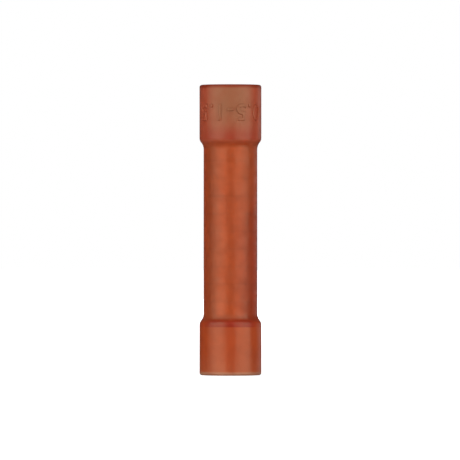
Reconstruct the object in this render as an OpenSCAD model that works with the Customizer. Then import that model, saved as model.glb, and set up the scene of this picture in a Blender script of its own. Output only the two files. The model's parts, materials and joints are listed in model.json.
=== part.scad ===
// Insulated butt splice connector for joining two wires end to end.
// A belled insulating sleeve grips a metal crimp barrel, and a wire enters at each end.
// It stands on the rim of its lower bell, with the wire axis along +Z and that rim at z = 0.

/* [Barrel] */
// Bore of the barrel, which takes the stripped end of a wire
wire_bore = 1.9; // [1.6:0.05:2.4]
// Wall of the barrel
barrel_wall = 0.8; // [0.6:0.05:1.1]
// Countersink at each mouth of the bore
mouth_chamfer = 0.3; // [0.1:0.05:0.5]
// Chamfer on the outer edge of each end
edge_chamfer = 0.1; // [0.05:0.01:0.2]

/* [Wire stop and serrations] */
// Opening that the stop leaves through the middle of the bore
stop_bore = 0.9; // [0.5:0.05:1.3]
// Length of the stop along its crest
stop_crest = 0.5; // [0.3:0.05:1]
// Length of each sloping flank of the stop
stop_flank = 0.3; // [0.1:0.05:0.5]
// Spacing of the serrations, counted from the middle of the stop
serration_pitch = 1.57; // [1.3:0.01:2.2]
// Depth of a serration in the bore
serration_depth = 0.12; // [0.05:0.01:0.25]
// Width of a serration at the bore's surface
serration_width = 0.36; // [0.2:0.02:0.5]
// Depth of the faint ring that each serration leaves on the outside
ring_depth = 0.03; // [0.01:0.01:0.08]
// Width of that ring
ring_width = 0.3; // [0.1:0.02:0.5]

/* [Sleeve] */
// Length of the waist, between the middles of the two shoulders
waist_len = 15.95; // [14:0.05:20]
// Length of the lower bell, from its rim to the middle of its shoulder
lower_bell_len = 4.9; // [3.5:0.05:7]
// Length of the upper bell, from its rim to the middle of its shoulder
upper_bell_len = 5.15; // [3.5:0.05:7]
// Wall of the waist, round the barrel
waist_wall = 0.64; // [0.5:0.01:0.9]
// Height by which the bells stand out from the waist
bell_rise = 0.37; // [0.25:0.01:0.6]
// Wall of the bells
bell_wall = 0.91; // [0.65:0.01:0.96]
// Radius of the shoulder where it rounds into the bell
bell_round = 0.6; // [0.3:0.05:0.9]
// Radius of the shoulder where it fills into the waist
waist_round = 1; // [0.5:0.05:1.5]
// Radius on the outer edge of each rim
rim_round = 0.22; // [0.1:0.01:0.3]
// Radius on the inner edge of each rim, where a wire is fed in
lip_round = 0.3; // [0.1:0.01:0.34]
// Length of the cone inside each shoulder that guides a wire to the barrel
guide_len = 0.6; // [0.3:0.05:1]

/* [Fit] */
// Radial gap between the barrel and the sleeve round it
fit_gap = 0.01; // [0.005:0.005:0.05]
// Distance from the middle of each shoulder back to the barrel's end
barrel_setback = 0.25; // [0.1:0.05:0.5]

/* [Hidden] */

$fn = 96;
arc_steps = 6; // straight steps in each rounded stretch of a section

bore_r = wire_bore / 2;
stop_r = stop_bore / 2;
barrel_r = bore_r + barrel_wall;
barrel_half = waist_len / 2 - barrel_setback;
barrel_mid_z = lower_bell_len + waist_len / 2;
stop_half = stop_crest / 2;
serrations_a_side = floor((barrel_half - mouth_chamfer - serration_width / 2) / serration_pitch);

waist_bore_r = barrel_r + fit_gap;
waist_r = waist_bore_r + waist_wall;
bell_r = waist_r + bell_rise;
bell_bore_r = bell_r - bell_wall;
// Angle at the middle of a shoulder, where its two arcs meet
shoulder_turn = acos(1 - bell_rise / (bell_round + waist_round));

function backwards(points) = [for (i = [len(points) - 1:-1:0]) points[i]];

// Points along an arc of a section, from one angle to another
function arc(centre, radius, from, to) = [
    for (i = [0:arc_steps])
        let (a = from + (to - from) * i / arc_steps)
            centre + radius * [cos(a), sin(a)]
];

// A point of the S-shaped shoulder, as [radius, distance towards the rim]. turn is the slope there.
function waist_side(turn) = [
    waist_r + waist_round * (1 - cos(turn)),
    waist_round * (sin(turn) - sin(shoulder_turn))
];
function bell_side(turn) = [
    bell_r - bell_round * (1 - cos(turn)),
    bell_round * (sin(shoulder_turn) - sin(turn))
];
function shoulder() = concat(
    [for (i = [0:arc_steps - 1]) waist_side(shoulder_turn * i / arc_steps)],
    [for (i = [0:arc_steps]) bell_side(shoulder_turn * (1 - i / arc_steps))]
);

// One end of the sleeve, outside and inside, measured from the middle of its shoulder to its rim
function end_outside(bell_len) = concat(
    shoulder(),
    arc([bell_r - rim_round, bell_len - rim_round], rim_round, 0, 90)
);
function end_inside(bell_len) = concat(
    [[waist_bore_r, 0], [bell_bore_r, guide_len]],
    arc([bell_bore_r + lip_round, bell_len - lip_round], lip_round, 180, 90)
);

// The same points set in place at the lower or the upper end
function at_lower_end(points) = [for (p = points) [p[0], lower_bell_len - p[1]]];
function at_upper_end(points) = [for (p = points) [p[0], lower_bell_len + waist_len + p[1]]];

function sleeve_section() = concat(
    backwards(at_lower_end(end_outside(lower_bell_len))),
    at_upper_end(end_outside(upper_bell_len)),
    backwards(at_upper_end(end_inside(upper_bell_len))),
    at_lower_end(end_inside(lower_bell_len))
);

// A V across the surface at this radius. A negative depth cuts inwards from the outside.
module notch(radius, depth, width) {
    polygon([[radius + depth, 0], [radius - depth, width], [radius - depth, -width]]);
}

// Half section of the barrel's wall, with the stop's rib and no serrations, centred on the stop
module barrel_blank() {
    polygon([
        [barrel_r - edge_chamfer, -barrel_half],
        [barrel_r, edge_chamfer - barrel_half],
        [barrel_r, barrel_half - edge_chamfer],
        [barrel_r - edge_chamfer, barrel_half],
        [bore_r + mouth_chamfer, barrel_half],
        [bore_r, barrel_half - mouth_chamfer],
        [bore_r, stop_half + stop_flank],
        [stop_r, stop_half],
        [stop_r, -stop_half],
        [bore_r, -stop_half - stop_flank],
        [bore_r, mouth_chamfer - barrel_half],
        [bore_r + mouth_chamfer, -barrel_half]
    ]);
}

module barrel_section() {
    difference() {
        barrel_blank();
        for (side = [-1, 1], i = [1:serrations_a_side])
            translate([0, side * i * serration_pitch])
                notch(bore_r, serration_depth, serration_width);
        for (i = [-serrations_a_side:serrations_a_side])
            translate([0, i * serration_pitch])
                notch(barrel_r, -ring_depth, ring_width);
    }
}

module insulating_sleeve() {
    color([0.69, 0.35, 0.24])
        rotate_extrude()
            polygon(sleeve_section());
}

module crimp_barrel() {
    color([0.78, 0.76, 0.72])
        translate([0, 0, barrel_mid_z])
            rotate_extrude()
                barrel_section();
}

insulating_sleeve();
crimp_barrel();
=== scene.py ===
import json
import math
from collections import Counter

import bpy
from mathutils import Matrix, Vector


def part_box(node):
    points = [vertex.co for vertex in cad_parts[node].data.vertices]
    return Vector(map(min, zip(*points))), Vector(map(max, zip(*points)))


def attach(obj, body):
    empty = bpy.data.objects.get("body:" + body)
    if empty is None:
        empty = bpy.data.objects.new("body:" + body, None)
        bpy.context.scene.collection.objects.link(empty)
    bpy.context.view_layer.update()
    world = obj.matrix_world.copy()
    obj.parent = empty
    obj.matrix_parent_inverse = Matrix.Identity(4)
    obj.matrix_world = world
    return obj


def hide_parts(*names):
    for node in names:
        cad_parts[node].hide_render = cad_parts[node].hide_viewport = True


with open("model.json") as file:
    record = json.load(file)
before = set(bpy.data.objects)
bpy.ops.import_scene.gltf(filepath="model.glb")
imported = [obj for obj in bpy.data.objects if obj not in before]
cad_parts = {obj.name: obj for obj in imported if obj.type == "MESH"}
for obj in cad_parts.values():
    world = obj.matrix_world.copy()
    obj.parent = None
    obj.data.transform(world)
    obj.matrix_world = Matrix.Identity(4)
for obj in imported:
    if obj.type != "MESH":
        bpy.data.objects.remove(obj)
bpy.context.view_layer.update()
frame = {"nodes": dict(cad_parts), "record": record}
bpy.ops.object.select_all(action="DESELECT")  # the CAD nodes come in selected
print("frame loaded:", sorted(frame["nodes"]))

mm = 0.001  # every size below is in metres
weldGap = 0.0005 * mm  # points closer than this are one
mounts = {mount["name"]: mount for mount in frame["record"]["mounts"]}
sleeveLow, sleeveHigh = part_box("insulating_sleeve")
barrelLow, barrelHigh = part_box("crimp_barrel")


def mountRadius(name):
    return mounts[name]["dims"]["r_mm"] * mm


# Drawing and turning

def arc(centre, radius, fromAngle, toAngle, steps):
    angles = [math.radians(fromAngle + (toAngle - fromAngle) * i / steps) for i in range(steps + 1)]
    return [(centre[0] + radius * math.cos(a), centre[1] + radius * math.sin(a)) for a in angles]


def turnedPiece(name, outline, sides):
    # a closed outline of (radius, height) points, drawn point by point and spun round the wire axis
    bpy.ops.object.select_all(action="DESELECT")
    bpy.ops.mesh.primitive_plane_add(size=mm)
    piece = bpy.context.object
    piece.name = name
    bpy.ops.object.mode_set(mode="EDIT")
    bpy.ops.mesh.merge(type="CENTER")  # one vertex is left to draw with
    here = Vector((outline[0][0], 0, outline[0][1]))
    bpy.ops.transform.translate(value=here)
    for radius, height in outline[1:] + outline[:1]:
        there = Vector((radius, 0, height))
        bpy.ops.mesh.extrude_region_move(TRANSFORM_OT_translate={"value": there - here})
        here = there
    bpy.ops.mesh.select_all(action="SELECT")
    bpy.ops.mesh.remove_doubles(threshold=weldGap)
    bpy.ops.mesh.spin(steps=sides, angle=2 * math.pi, center=(0, 0, 0), axis=(0, 0, 1))
    bpy.ops.mesh.select_all(action="SELECT")
    bpy.ops.mesh.remove_doubles(threshold=weldGap)
    bpy.ops.mesh.normals_make_consistent(inside=False)
    bpy.ops.object.mode_set(mode="OBJECT")
    return piece


def applyModifier(piece, kind, **settings):
    bpy.context.view_layer.objects.active = piece
    modifier = piece.modifiers.new(kind.lower(), kind)
    for key, value in settings.items():
        setattr(modifier, key, value)
    bpy.ops.object.modifier_apply(modifier=modifier.name)


# Shader sums

class Shade:  # a shader socket that takes part in Python sums
    def __init__(self, tree, socket=None):
        self.tree = tree
        self.socket = socket

    def node(self, kind, settings=None, sockets=None, out=0):
        made = self.tree.nodes.new(kind)
        for key, value in (settings or {}).items():
            setattr(made, key, value)
        for key, value in (sockets or {}).items():
            self.feed(made.inputs[key], value)
        return Shade(self.tree, made.outputs[out])

    def feed(self, target, value):
        if isinstance(value, Shade):
            self.tree.links.new(value.socket, target)
        else:
            target.default_value = value

    def sum(self, operation, first, second=0):
        return self.node("ShaderNodeMath", {"operation": operation}, {0: first, 1: second})

    def __add__(self, other):
        return self.sum("ADD", self, other)

    __radd__ = __add__

    def __sub__(self, other):
        return self.sum("SUBTRACT", self, other)

    def __rsub__(self, other):
        return self.sum("SUBTRACT", other, self)

    def __mul__(self, other):
        return self.sum("MULTIPLY", self, other)

    __rmul__ = __mul__

    def ramp(self, low, high):  # 0 below low, 1 above high, smooth between
        return self.node(
            "ShaderNodeMapRange",
            {"interpolation_type": "SMOOTHSTEP"},
            {"Value": self, "From Min": low, "From Max": high},
        )

    def within(self, low, high, fadeBelow, fadeAbove):  # 1 from low to high, 0 beyond the fades
        return self.ramp(low - fadeBelow, low) - self.ramp(high, high + fadeAbove)

    def axes(self):  # x, y and z of a place
        split = self.node("ShaderNodeSeparateXYZ", sockets={0: self}).socket.node
        return [Shade(self.tree, output) for output in split.outputs]

    def noise(self, place, scale, detail):
        return self.node(
            "ShaderNodeTexNoise", sockets={"Vector": place, "Scale": scale, "Detail": detail}
        )

    def blend(self, first, second):  # a colour, by this value
        return self.node(
            "ShaderNodeMix", {"data_type": "RGBA"}, {0: self, 6: first, 7: second}, out=2
        )


def newMaterial(name):
    material = bpy.data.materials.new(name)
    material.use_nodes = True
    tree = material.node_tree
    return material, tree.nodes["Principled BSDF"], Shade(tree)


def sightRays(shade):  # rays from the camera, rays that mirror in a piece and rays through one
    outputs = shade.node("ShaderNodeLightPath").socket.node.outputs
    kinds = ("Is Camera Ray", "Is Glossy Ray", "Is Transmission Ray")
    return {kind: Shade(shade.tree, outputs[kind]) for kind in kinds}


# The plated crimp barrel

barrel = {
    "radius": barrelHigh.x,
    "boreRadius": mountRadius("lower_wire_bore"),
    "half": (barrelHigh.z - barrelLow.z) / 2,
    "middle": (barrelHigh.z + barrelLow.z) / 2,
    "mouth": 0.3 * mm,  # countersink
    "edge": 0.1 * mm,
    "stopRadius": 0.45 * mm,
    "stopHalf": 0.25 * mm,
    "stopFlank": 0.3 * mm,
    "pitch": 1.57 * mm,
    "serrations": 4,  # on each side of the stop
    "serrationDepth": 0.12 * mm,
    "serrationWidth": 0.36 * mm,
    "ringDepth": 0.03 * mm,
    "ringWidth": 0.3 * mm,
    "sides": 256,
    "smoothAngle": math.radians(25),
    "ringCore": 0.05 * mm,  # half width of a ring's darkest part, where its painted shade is full
    "plateColour": (0.66, 0.64, 0.60, 1),
    "dullColour": (0.58, 0.55, 0.50, 1),  # in patches
    "paintedGrooveShade": (0.38, 0.34, 0.29, 1),  # painted shade along the rings, in their grooves
    "patchScale": 900,
    "patchDetail": 4,
    "patchSteps": (0.35, 0.75),  # noise at which a patch starts and is full
    "plateRough": 0.44,
    "patchRough": 0.12,
}


def notch(radius, height, depth, width):
    return [(radius, height - width / 2), (radius + depth, height), (radius, height + width / 2)]


def buildBarrel():
    b = barrel
    steps = range(-b["serrations"], b["serrations"] + 1)
    outside = [(b["radius"] - b["edge"], -b["half"]), (b["radius"], b["edge"] - b["half"])]
    for i in steps:
        outside += notch(b["radius"], i * b["pitch"], -b["ringDepth"], b["ringWidth"])
    outside += [(b["radius"], b["half"] - b["edge"]), (b["radius"] - b["edge"], b["half"])]
    bore = [(b["boreRadius"] + b["mouth"], -b["half"]), (b["boreRadius"], b["mouth"] - b["half"])]
    stop = [
        (b["boreRadius"], -b["stopHalf"] - b["stopFlank"]),
        (b["stopRadius"], -b["stopHalf"]),
        (b["stopRadius"], b["stopHalf"]),
        (b["boreRadius"], b["stopHalf"] + b["stopFlank"]),
    ]
    for i in steps:
        if i == 0:
            bore += stop
        else:
            bore += notch(b["boreRadius"], i * b["pitch"], b["serrationDepth"], b["serrationWidth"])
    bore += [(b["boreRadius"], b["half"] - b["mouth"]), (b["boreRadius"] + b["mouth"], b["half"])]
    outline = [(r, b["middle"] + z) for r, z in outside + bore[::-1]]
    return turnedPiece("platedBarrel", outline, b["sides"])


def ringMask(height):  # 1 along the rings of the barrel, where shade is painted on them
    b = barrel
    turns = height.sum("FRACT", (height - b["middle"]) * (1 / b["pitch"]) + 0.5)  # 0.5 at each ring
    away = b["pitch"] * height.sum("ABSOLUTE", turns - 0.5)
    return 1 - away.ramp(b["ringCore"], b["ringWidth"] / 2)


def platedMaterial():
    b = barrel
    material, shader, shade = newMaterial("tinPlate")
    place = shade.node("ShaderNodeTexCoord", out="Object")
    patches = shade.noise(place, b["patchScale"], b["patchDetail"])
    colour = patches.ramp(*b["patchSteps"]).blend(b["plateColour"], b["dullColour"])
    # painted shade: the barrel is darker along its ring grooves
    colour = ringMask(place.axes()[2]).blend(colour, b["paintedGrooveShade"])
    shade.feed(shader.inputs["Base Color"], colour)
    shade.feed(shader.inputs["Roughness"], b["plateRough"] + b["patchRough"] * patches)
    shader.inputs["Metallic"].default_value = 1.0
    return material


def finishBarrel():
    piece = buildBarrel()
    bpy.ops.object.shade_smooth_by_angle(angle=barrel["smoothAngle"])
    piece.data.materials.append(platedMaterial())
    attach(piece, "root")
    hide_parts("crimp_barrel")
    print("barrel:", len(piece.data.polygons), "faces")


finishBarrel()


# The nylon sleeve

sleeve = {
    "waistRadius": 2.40 * mm,
    "waistBoreRadius": barrelHigh.x + 0.01 * mm,  # just clear of the barrel
    "bellRadius": sleeveHigh.x,
    "bellBoreRadius": mountRadius("lower_bell_bore"),
    "lowerBell": 4.9 * mm,  # rim to the middle of the shoulder
    "upperBell": 5.15 * mm,
    "height": sleeveHigh.z,
    "bellRound": 0.6 * mm,
    "waistRound": 1.0 * mm,
    "rimRound": 0.22 * mm,
    "lipRound": 0.3 * mm,
    "guide": 0.6 * mm,  # length of the cone from bell bore to barrel
    "arcSteps": 10,
    "sides": 320,
    "smoothAngle": math.radians(35),
}


def shoulderCurve():
    # (radius, distance towards the rim) along the S from waist to bell
    s = sleeve
    rise = s["bellRadius"] - s["waistRadius"]
    turn = math.acos(1 - rise / (s["bellRound"] + s["waistRound"]))
    steps = s["arcSteps"]
    slopes = [turn * i / steps for i in range(steps + 1)]
    waistSide = [
        (
            s["waistRadius"] + s["waistRound"] * (1 - math.cos(a)),
            s["waistRound"] * (math.sin(a) - math.sin(turn)),
        )
        for a in slopes[:-1]
    ]
    bellSide = [
        (
            s["bellRadius"] - s["bellRound"] * (1 - math.cos(a)),
            s["bellRound"] * (math.sin(turn) - math.sin(a)),
        )
        for a in reversed(slopes)
    ]
    return waistSide + bellSide


def sleeveEnd(bellLength):
    # one end, outside and inside, measured from the middle of its shoulder to its rim
    s = sleeve
    rimCentre = (s["bellRadius"] - s["rimRound"], bellLength - s["rimRound"])
    lipCentre = (s["bellBoreRadius"] + s["lipRound"], bellLength - s["lipRound"])
    outside = shoulderCurve() + arc(rimCentre, s["rimRound"], 0, 90, s["arcSteps"])
    inside = [(s["waistBoreRadius"], 0), (s["bellBoreRadius"], s["guide"])]
    inside += arc(lipCentre, s["lipRound"], 180, 90, s["arcSteps"])
    return outside, inside


def buildSleeve():
    s = sleeve
    lowOutside, lowInside = sleeveEnd(s["lowerBell"])
    highOutside, highInside = sleeveEnd(s["upperBell"])

    def placeLow(points):
        return [(r, s["lowerBell"] - d) for r, d in points]

    def placeHigh(points):
        return [(r, s["height"] - s["upperBell"] + d) for r, d in points]

    outline = placeLow(lowOutside)[::-1] + placeHigh(highOutside)
    outline += placeHigh(highInside)[::-1] + placeLow(lowInside)
    return turnedPiece("nylonSleeve", outline, s["sides"])


# The wire range, in square millimetres, raised on the upper bell and upside down
numerals = {
    "words": "0.5-1.5",
    "height": 1.45 * mm,  # of a numeral
    "belowRim": 2.42 * mm,  # to the middle of the numerals
    "raised": 0.10 * mm,
    "edgeRound": 0.06 * mm,
    "edgeSteps": 2,
    "fuller": 0.04 * mm,  # what each stroke gains on both sides
    "spacing": 1.12,  # of the numerals, where 1 is the font's own
    "slice": 0.08 * mm,  # spacing of the cuts that let the strokes bend round the bell
}


def buildNumerals():
    n = numerals
    bpy.ops.object.select_all(action="DESELECT")
    bpy.ops.object.text_add()
    text = bpy.context.object
    text.data.body = n["words"]
    text.data.align_x = "CENTER"
    text.data.align_y = "CENTER"
    text.data.space_character = n["spacing"]
    bpy.context.view_layer.update()
    text.data.size *= n["height"] / text.dimensions.y
    text.data.extrude = n["raised"] - n["edgeRound"]
    text.data.bevel_depth = n["edgeRound"]
    text.data.bevel_resolution = n["edgeSteps"]
    text.data.offset = n["fuller"] - n["edgeRound"]
    bpy.ops.object.convert(target="MESH")
    text.rotation_euler = (math.radians(90), math.radians(180), 0)  # facing the front, upside down
    bpy.ops.object.transform_apply(location=True, rotation=True, scale=True)
    halfWidth = text.dimensions.x / 2
    bpy.ops.object.mode_set(mode="EDIT")
    bpy.ops.mesh.select_all(action="SELECT")
    bpy.ops.mesh.remove_doubles(threshold=weldGap)
    bpy.ops.mesh.normals_make_consistent(inside=False)
    cuts = int(halfWidth / n["slice"])
    for i in range(-cuts, cuts + 1):
        bpy.ops.mesh.select_all(action="SELECT")
        bpy.ops.mesh.bisect(plane_co=(i * n["slice"], 0, 0), plane_no=(1, 0, 0))
    bpy.ops.object.mode_set(mode="OBJECT")
    applyModifier(
        text,
        "SIMPLE_DEFORM",
        deform_method="BEND",
        deform_axis="Z",
        angle=text.dimensions.x / sleeve["bellRadius"],
    )
    text.location = (0, -sleeve["bellRadius"], sleeve["height"] - n["belowRim"])
    bpy.ops.object.transform_apply(location=True, rotation=True, scale=True)
    return text


nylon = {
    "bellTint": (0.745, 0.105, 0.018, 1),
    "upperTint": (0.70, 0.126, 0.056, 1),  # of the upper bell
    "hazeAndPaintedLightTint": (0.50, 0.195, 0.088, 1),  # round the numerals that bell is greyer and paler: painted light, over a rougher surface
    "hazeAndLightDepth": (1.6 * mm, 2.9 * mm),  # the haze and its painted light grow with the distance in front of the wire axis
    "hazeAndLightHeight": (20.0 * mm, 24.4 * mm),  # and with height
    "waistTint": (0.96, 0.151, 0.029, 1),
    "waistFade": 0.6 * mm,  # length over which a bell's tint turns into it
    "boreTint": (0.95, 0.93, 0.37, 1),  # inside the waist, against the barrel
    "redTint": (0.86, 0.094, 0.014, 1),  # low on the right of the waist
    "redSide": (-0.2 * mm, 1.6 * mm),  # it comes in to the right
    "redHeight": (10.5 * mm, 19.0 * mm),  # and goes out upwards
    # painted shade on the shoulders, where they turn down away from the lamps
    "paintedShoulderShade": (0.50, 0.012, 0.004, 1),
    "paintedShadeBands": (  # painted shade along the shoulders: dark from, dark to, and the lengths of the fades below and above
        (4.36 * mm, 4.62 * mm, 0.08 * mm, 0.70 * mm),
        (21.15 * mm, 21.35 * mm, 0.15 * mm, 1.25 * mm),
    ),
    "paintedShadeShares": (0.94, 0.56),  # how dark each band of painted shade is
    "paintedShadeEnds": (1.6 * mm, 2.5 * mm),  # where the painted shade grows paler, to the left and to the right
    "paintedShadeEndsPaler": 0.75,  # by this share
    # painted light along the lower rim, where the floor lights it from below
    "lowRimPaintedLight": (0.80, 0.36, 0.20, 1),
    # painted shade along the upper rim
    "highRimPaintedShade": (0.45, 0.05, 0.015, 1),
    "paintedRimBand": (0.2 * mm, 0.4 * mm),  # where the painted light on the lower rim and the painted shade on the upper rim fade out
    "paintedRimLight": (0.3 * mm, 2.6 * mm),  # where the last of the lower rim's painted light fades out
    "paintedRimLightShare": 0.12,
    "deepTintAndRingShade": (0.50, 0.058, 0.012, 1),  # in patches and in specks, and as painted shade over each ring of the barrel
    "deepShare": 0.22,
    "deepSteps": (0.35, 0.7),  # noise at which a patch starts and is full
    "speckShare": 0.14,
    "speckSteps": (0.35, 0.65),
    "ringShadeShare": 0.08,
    "ringShadeSteps": (0.35, 0.6),  # noise at which the painted ring shade starts and is full; the patches break the rings up
    "bodyColour": (0.88, 0.71, 0.47, 1),  # the rest of the light is lost on its way through
    "bodyDensity": 2200,  # per metre
    "noiseDetail": 2,  # of every noise below
    "mottleScale": 420,
    "speckScale": 1300,
    "rippleScale": 650,
    "streakScale": 2000,
    "streakFlat": (0.25, 0.25, 1),  # squeezes the noise into streaks that run round the waist
    "streakSteps": (0.42, 0.58),
    "reliefDepth": 0.07 * mm,  # of the ripple
    "ringRelief": 0.05,  # what a ring sinks, as a share of that
    "satinRough": 0.29,
    "mottleRough": 0.06,
    "hazeRough": 0.2,
    "streakRough": 0.14,
    "ior": 1.53,
    "gloss": (0.88, 0.87, 0.60, 1),  # share of a clean surface's gloss
    "bellMilk": 0.5,  # share of the light that the nylon scatters
    "waistMilk": 0.30,  # the waist is stretched over the barrel
}


def nylonMaterial():
    n = nylon
    material, shader, shade = newMaterial("redNylon")
    place = shade.node("ShaderNodeTexCoord", out="Object")
    mottle, speck, ripple = [
        shade.noise(place, n[name], n["noiseDetail"])
        for name in ("mottleScale", "speckScale", "rippleScale")
    ]
    side, depth, height = place.axes()
    radius = shade.sum("SQRT", side * side + depth * depth)
    fade = n["waistFade"]
    lowEnd = sleeve["lowerBell"] + fade / 2
    highEnd = sleeve["height"] - sleeve["upperBell"] - fade / 2
    waist = height.within(lowEnd, highEnd, fade, fade)
    outside = radius.ramp(sleeve["waistBoreRadius"], sleeve["waistRadius"])

    # painted light on the front of the upper bell, growing towards the top, where the surface is also
    # rougher
    hazeAndPaintedLight = height.ramp(*n["hazeAndLightHeight"]) * (0 - depth).ramp(*n["hazeAndLightDepth"])
    # painted light low on the lower bell and along its rim, and painted shade along the top rim
    paintedRimLight = n["paintedRimLightShare"] * (1 - height.ramp(*n["paintedRimLight"]))
    belowTop = sleeve["height"] - height
    colour = height.ramp(lowEnd, highEnd).blend(n["bellTint"], n["upperTint"])
    colour = hazeAndPaintedLight.blend(colour, n["hazeAndPaintedLightTint"])
    colour = paintedRimLight.blend(colour, n["lowRimPaintedLight"])
    colour = height.ramp(*n["paintedRimBand"]).blend(n["lowRimPaintedLight"], colour)
    colour = belowTop.ramp(*n["paintedRimBand"]).blend(n["highRimPaintedShade"], colour)
    reddish = side.ramp(*n["redSide"]) * (1 - height.ramp(*n["redHeight"]))
    waistColour = outside.blend(n["boreTint"], reddish.blend(n["waistTint"], n["redTint"]))
    colour = waist.blend(colour, waistColour)
    # painted shade along both shoulders, paler to the left and to the right
    lowPaintedShade, highPaintedShade = [
        share * height.within(*band) for band, share in zip(n["paintedShadeBands"], n["paintedShadeShares"])
    ]
    paintedShadeEndFade = n["paintedShadeEndsPaler"] * shade.sum("ABSOLUTE", side).ramp(*n["paintedShadeEnds"])
    paintedShade = (lowPaintedShade + highPaintedShade) * outside * (1 - paintedShadeEndFade)
    colour = paintedShade.blend(colour, n["paintedShoulderShade"])
    # painted shade over each ring of the barrel, where it shows through the waist; the same mask sinks
    # the rings' relief
    ringShadeAndRelief = waist * ringMask(height) * mottle.ramp(*n["ringShadeSteps"])
    deep = n["deepShare"] * mottle.ramp(*n["deepSteps"])
    deep = deep + n["speckShare"] * speck.ramp(*n["speckSteps"])
    colour = (deep + n["ringShadeShare"] * ringShadeAndRelief).blend(colour, n["deepTintAndRingShade"])

    bump = shade.node(
        "ShaderNodeBump",
        sockets={
            "Height": ripple - n["ringRelief"] * ringShadeAndRelief,
            "Strength": 1,
            "Distance": n["reliefDepth"],
        },
    )
    flatPlace = shade.node(
        "ShaderNodeVectorMath", {"operation": "MULTIPLY"}, {0: place, 1: n["streakFlat"]}
    )
    streak = shade.noise(flatPlace, n["streakScale"], n["noiseDetail"]).ramp(*n["streakSteps"])
    roughness = n["satinRough"] + n["mottleRough"] * mottle + n["hazeRough"] * hazeAndPaintedLight
    roughness = roughness + n["streakRough"] * waist * streak
    clear = Shade(shade.tree, shader.outputs[0])
    milky = shade.node("ShaderNodeBsdfPrincipled")
    for made, through in ((clear.socket.node, 1.0), (milky.socket.node, 0.0)):
        shade.feed(made.inputs["Base Color"], colour)
        shade.feed(made.inputs["Roughness"], roughness)
        shade.feed(made.inputs["Normal"], bump)
        made.inputs["IOR"].default_value = n["ior"]
        made.inputs["Specular Tint"].default_value = n["gloss"]
        made.inputs["Transmission Weight"].default_value = through
    milk = n["bellMilk"] + waist * (n["waistMilk"] * outside - n["bellMilk"])
    mixed = shade.node("ShaderNodeMixShader", sockets={0: milk, 1: clear, 2: milky})
    body = shade.node(
        "ShaderNodeVolumeAbsorption", sockets={"Color": n["bodyColour"], "Density": n["bodyDensity"]}
    )
    output = shade.tree.nodes["Material Output"]
    shade.feed(output.inputs["Surface"], mixed)
    shade.feed(output.inputs["Volume"], body)
    return material


def weldJoin(piece):
    # slivers along the join close up, and can leave two triangles back to back on the same three corners
    bpy.ops.object.mode_set(mode="EDIT")
    bpy.ops.mesh.select_all(action="SELECT")
    bpy.ops.mesh.remove_doubles(threshold=weldGap)
    bpy.ops.mesh.select_mode(type="FACE")
    bpy.ops.mesh.select_all(action="DESELECT")
    bpy.ops.object.mode_set(mode="OBJECT")
    corners = [tuple(sorted(face.vertices)) for face in piece.data.polygons]
    uses = Counter(corners)
    for face, key in zip(piece.data.polygons, corners):
        face.select = uses[key] > 1
    bpy.ops.object.mode_set(mode="EDIT")
    bpy.ops.mesh.delete(type="FACE")
    bpy.ops.object.mode_set(mode="OBJECT")


def finishSleeve():
    piece = buildSleeve()
    text = buildNumerals()
    applyModifier(piece, "BOOLEAN", operation="UNION", solver="EXACT", object=text)
    bpy.data.objects.remove(text)
    applyModifier(piece, "TRIANGULATE")
    weldJoin(piece)
    bpy.ops.object.select_all(action="DESELECT")
    piece.select_set(True)
    bpy.ops.object.shade_smooth_by_angle(angle=sleeve["smoothAngle"])
    piece.data.materials.clear()
    piece.data.materials.append(nylonMaterial())
    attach(piece, "root")
    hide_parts("insulating_sleeve")
    print("sleeve:", len(piece.data.polygons), "faces")


finishSleeve()


# Floor, light and camera

studio = {
    "floorSize": 3.0,
    "floorColour": (0.8, 0.8, 0.8, 1),
    "floorRough": 0.9,
    "floorGlow": 0.72,  # near the object, where the lamps do the rest
    "glowNear": 0.04,
    "glowFar": 0.25,
    "ambient": 0.25,  # light from the room
    "roomGloss": 0.05,  # the room as it mirrors in the nylon or shows through it
    "whiteWall": (0.05, 0.999, 0),  # direction of the white wall behind
    "wallThrough": (0.80, 0.97),  # cosines between which the wall fades out, seen through the nylon
    "wallDimmed": 0.8,  # what the milky nylon leaves of it
    "wallGloss": (0.975, 0.99),  # the same, mirrored in a surface
    "rearStrip": (0.72, 0.695, 0),  # direction of a pale strip, behind on the right
    "stripGloss": (0.97, 0.99),
    "stripLevel": 0.55,  # where 1 is white
    "lamps": {  # gloss says whether a lamp mirrors in the pieces
        "leftBox": {"azimuth": -44, "distance": 0.4, "size": (0.36, 0.6), "power": 1.45, "gloss": True},
        "leftEdge": {"azimuth": -78, "distance": 0.4, "size": (0.14, 0.6), "power": 0.26, "gloss": True},
        "rightBox": {"azimuth": 50, "distance": 0.4, "size": (0.46, 0.6), "power": 1.68, "gloss": True},
        "frontFill": {"azimuth": 0, "distance": 0.62, "size": (0.5, 0.7), "power": 0.72, "gloss": False},
        "rearFill": {"azimuth": 180, "distance": 0.62, "size": (0.7, 0.7), "power": 2.8, "gloss": False},
    },
    "lampElevation": 8,
    "hiddenLamp": "rearFill",  # it lights the back and must not shine through the nylon
    "frameWidth": 41.2 * mm,  # what the picture spans at the object
    "cameraDistance": 0.57,
    "cameraReach": (0.01, 10),  # the nearest and the farthest it sees
    "standsRight": 0.04 * mm,  # of the middle of the picture
}


def facing(direction, towards):  # cosine of the angle between them
    return direction.node(
        "ShaderNodeVectorMath", {"operation": "DOT_PRODUCT"}, {0: direction, 1: towards}, out="Value"
    )


def whiteSector(direction, rays):  # how white the direction is: the wall behind is, and the room is dim
    wall = facing(direction, studio["whiteWall"])
    strip = facing(direction, studio["rearStrip"])
    mirrored = wall.ramp(*studio["wallGloss"]) + studio["stripLevel"] * strip.ramp(*studio["stripGloss"])
    through = studio["wallDimmed"] * wall.ramp(*studio["wallThrough"])
    return rays["Is Glossy Ray"] * mirrored + rays["Is Transmission Ray"] * through


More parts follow.
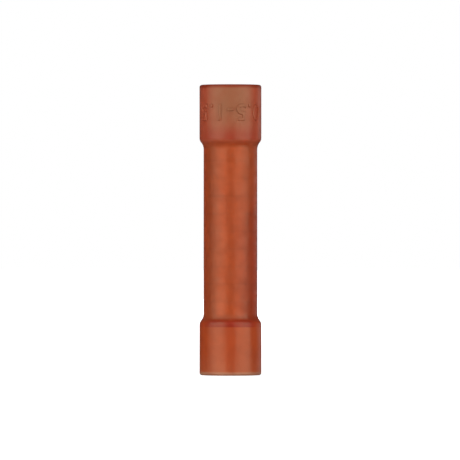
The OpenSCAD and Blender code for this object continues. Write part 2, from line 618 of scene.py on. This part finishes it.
def buildFloor():
    bpy.ops.object.select_all(action="DESELECT")
    bpy.ops.mesh.primitive_plane_add(size=studio["floorSize"])
    floor = bpy.context.object
    floor.name = "floor"
    material, shader, shade = newMaterial("paleFloor")
    shader.inputs["Base Color"].default_value = studio["floorColour"]
    shader.inputs["Roughness"].default_value = studio["floorRough"]
    shader.inputs["Specular IOR Level"].default_value = 0.0
    shader.inputs["Emission Strength"].default_value = 1.0
    place = shade.node("ShaderNodeTexCoord", out="Object")
    distance = shade.node("ShaderNodeVectorMath", {"operation": "LENGTH"}, {0: place}, out="Value")
    far = distance.ramp(studio["glowNear"], studio["glowFar"])
    glow = studio["floorGlow"] + (1 - studio["floorGlow"]) * far
    shade.feed(shader.inputs["Emission Color"], glow * sightRays(shade)["Is Camera Ray"])
    material.cycles.emission_sampling = "NONE"  # the glow is only for the camera and lights nothing
    floor.data.materials.append(material)
    floor.visible_glossy = False  # mirrored or seen through the nylon, the room shows in its place
    floor.visible_transmission = False


def buildWorld():
    world = bpy.data.worlds.new("whiteRoom")
    world.use_nodes = True
    shade = Shade(world.node_tree)
    background = world.node_tree.nodes["Background"]
    background.inputs["Color"].default_value = (1, 1, 1, 1)
    direction = shade.node("ShaderNodeTexCoord", out="Generated")
    rays = sightRays(shade)
    inside = shade.sum("MAXIMUM", rays["Is Glossy Ray"], rays["Is Transmission Ray"])
    room = studio["ambient"] + (studio["roomGloss"] - studio["ambient"]) * inside
    white = shade.sum("MAXIMUM", rays["Is Camera Ray"], whiteSector(direction, rays))
    shade.feed(background.inputs["Strength"], shade.sum("MAXIMUM", room, white))
    bpy.context.scene.world = world


def pointAt(thing, azimuth, elevation, distance, target):
    # azimuth 0 is in front, on -Y, and positive is to the right
    a = math.radians(azimuth)
    e = math.radians(elevation)
    back = Vector((math.sin(a) * math.cos(e), -math.cos(a) * math.cos(e), math.sin(e)))
    thing.location = target + back * distance
    thing.rotation_euler = back.to_track_quat("Z", "Y").to_euler()


def buildLamps(target):
    for name, lamp in studio["lamps"].items():
        bpy.ops.object.light_add(type="AREA")
        made = bpy.context.object
        made.name = name
        made.data.shape = "RECTANGLE"
        made.data.size, made.data.size_y = lamp["size"]
        made.data.energy = lamp["power"]
        made.visible_camera = False
        made.visible_glossy = lamp["gloss"]
        made.visible_transmission = name != studio["hiddenLamp"]
        pointAt(made, lamp["azimuth"], studio["lampElevation"], lamp["distance"], target)


def buildCamera(target):
    bpy.ops.object.camera_add()
    camera = bpy.context.object
    camera.data.lens = camera.data.sensor_width * studio["cameraDistance"] / studio["frameWidth"]
    camera.data.clip_start, camera.data.clip_end = studio["cameraReach"]
    pointAt(camera, 0, 0, studio["cameraDistance"], target)
    bpy.context.scene.camera = camera


middle = Vector((0, 0, sleeve["height"] / 2))
buildFloor()
buildWorld()
buildLamps(middle)
buildCamera(middle - Vector((studio["standsRight"], 0, 0)))
bpy.context.scene.view_settings.view_transform = "Standard"
print("studio ready")
